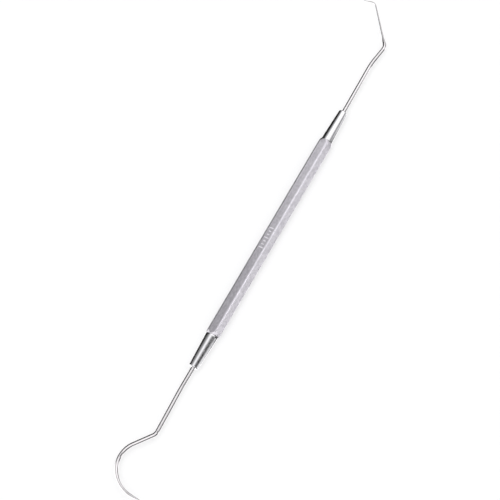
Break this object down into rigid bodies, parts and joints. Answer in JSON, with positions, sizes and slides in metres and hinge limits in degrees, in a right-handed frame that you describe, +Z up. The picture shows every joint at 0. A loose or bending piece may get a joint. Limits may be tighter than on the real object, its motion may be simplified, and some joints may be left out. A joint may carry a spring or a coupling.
{
  "type": "dental explorer",
  "caption": "Double-ended dental explorer: hexagonal steel handle with a polished cone at each end, a shepherd's hook wire on one side and an angled fine probe on the other.",
  "frame": {"origin": "middle of the flat that the handle lies on", "axes": "+X along the handle towards the angled probe, +Z up out of the flat; both working ends bend in the plane parallel to XY at the handle's axis"},
  "size_m": [0.1745, 0.0217, 0.0042],
  "materials": {
    "satin_steel": "fine blasted satin",
    "polished_steel": "polished, with faint turning marks",
    "wire_steel": "bright drawn wire, ground towards the point"
  },
  "bodies": {
    "root": {"handle": "satin_steel", "hook_cone": "polished_steel", "probe_cone": "polished_steel", "hook_working_end": "wire_steel", "probe_working_end": "wire_steel"}
  },
  "joints": []
}
